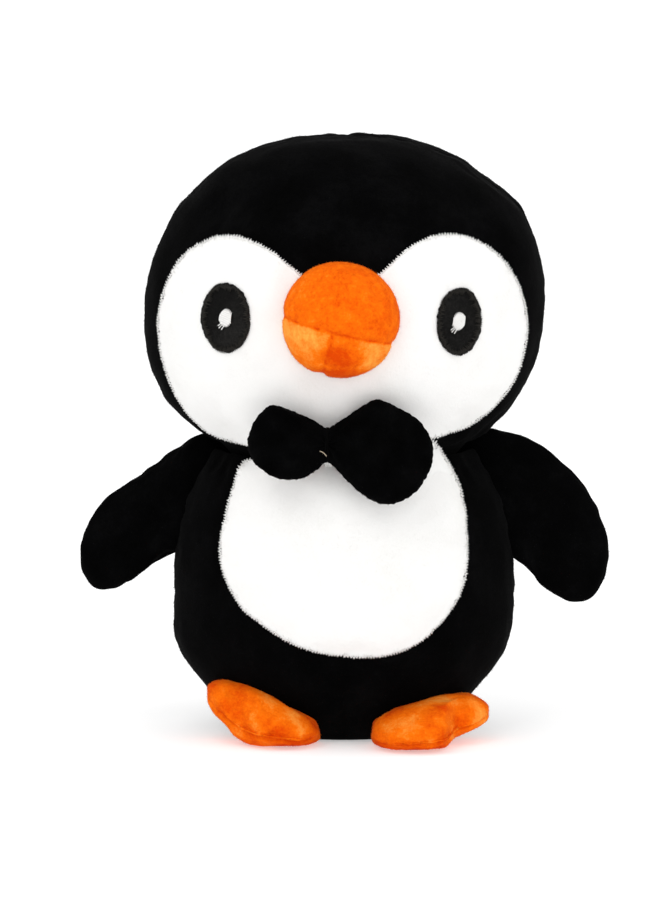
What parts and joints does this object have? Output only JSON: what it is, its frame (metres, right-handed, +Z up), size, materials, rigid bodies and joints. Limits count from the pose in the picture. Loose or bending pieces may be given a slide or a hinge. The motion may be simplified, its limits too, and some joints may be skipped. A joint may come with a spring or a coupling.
{
  "type": "plush penguin",
  "caption": "Round stuffed penguin toy that stands on a flat base, with a white face and belly patch, plush beak and feet, flippers and a bow tie.",
  "frame": {"origin": "centre of the flat base, on the surface that the toy stands on, straight under the neck", "axes": "+Z up through the crown, -Y the way the beak points, -X the side on the left when seen from in front"},
  "size_m": [0.2234, 0.1615, 0.25],
  "materials": {
    "black_plush": "short-pile plush, black, soft sheen",
    "white_plush": "short-pile plush, white",
    "orange_plush": "velvety short-pile plush, orange, brushed in patches",
    "polyester_fibre": "loose polyester fibre filling",
    "black_thread": "sewing thread, black, slight gloss",
    "white_thread": "embroidery thread, white, slight gloss"
  },
  "bodies": {
    "torso": {"belly_patch": "white_plush", "belly_patch_stitching": "white_thread", "body_back_left_panel": "black_plush", "body_back_right_panel": "black_plush", "body_base_panel": "black_plush", "body_front_left_panel": "black_plush", "body_front_right_panel": "black_plush", "body_stuffing": "polyester_fibre"},
    "neck": {"neck_stuffing": "polyester_fibre"},
    "head": {"beak_lower_left_panel": "orange_plush", "beak_lower_right_panel": "orange_plush", "beak_stuffing": "polyester_fibre", "beak_upper_panel": "orange_plush", "eye_left": "black_plush", "eye_left_glint": "white_thread", "eye_left_stitching": "black_thread", "eye_right": "black_plush", "eye_right_glint": "white_thread", "eye_right_stitching": "black_thread", "face_patch": "white_plush", "face_patch_stitching": "white_thread", "head_back_left_panel": "black_plush", "head_back_right_panel": "black_plush", "head_front_panel": "black_plush", "head_stuffing": "polyester_fibre"},
    "bow_tie": {"bow_tie_back_layer": "black_plush", "bow_tie_front_layer": "black_plush", "bow_tie_gather_thread": "black_thread"},
    "flipper_left": {"flipper_left_back_panel": "black_plush", "flipper_left_front_panel": "black_plush", "flipper_left_stuffing": "polyester_fibre"},
    "flipper_right": {"flipper_right_back_panel": "black_plush", "flipper_right_front_panel": "black_plush", "flipper_right_stuffing": "polyester_fibre"},
    "foot_left": {"foot_left_sole_panel": "orange_plush", "foot_left_stuffing": "polyester_fibre", "foot_left_top_panel": "orange_plush"},
    "foot_right": {"foot_right_sole_panel": "orange_plush", "foot_right_stuffing": "polyester_fibre", "foot_right_top_panel": "orange_plush"}
  },
  "joints": [
    {"name": "head_turn", "type": "hinge", "parent": "torso", "child": "neck", "pos_m": [0, 0, 0.164], "axis": [0, 0, 1], "range_deg": [-20, 20], "stiffness_Nm_per_rad": 0.5},
    {"name": "head_nod", "type": "hinge", "parent": "neck", "child": "head", "pos_m": [0, 0, 0.164], "axis": [0.9998, -0.0209, 0], "range_deg": [-9, 5], "stiffness_Nm_per_rad": 0.8},
    {"name": "bow_tie_swivel", "type": "hinge", "parent": "torso", "child": "bow_tie", "pos_m": [-0.007, -0.0715, 0.1285], "axis": [0, 1, 0], "range_deg": [-12, 12], "stiffness_Nm_per_rad": 0.01},
    {"name": "flipper_left_raise", "type": "hinge", "parent": "torso", "child": "flipper_left", "pos_m": [-0.0645, 0, 0.0985], "axis": [0, 1, 0], "range_deg": [0, 45], "stiffness_Nm_per_rad": 0.03},
    {"name": "flipper_right_raise", "type": "hinge", "parent": "torso", "child": "flipper_right", "pos_m": [0.0645, 0, 0.0985], "axis": [0, -1, 0], "range_deg": [0, 45], "stiffness_Nm_per_rad": 0.03},
    {"name": "foot_left_lift", "type": "hinge", "parent": "torso", "child": "foot_left", "pos_m": [-0.031, -0.024, 0.003], "axis": [-0.9781, 0.2079, 0], "range_deg": [0, 15], "stiffness_Nm_per_rad": 0.05},
    {"name": "foot_right_lift", "type": "hinge", "parent": "torso", "child": "foot_right", "pos_m": [0.031, -0.024, 0.003], "axis": [-0.9781, -0.2079, 0], "range_deg": [0, 15], "stiffness_Nm_per_rad": 0.05}
  ]
}
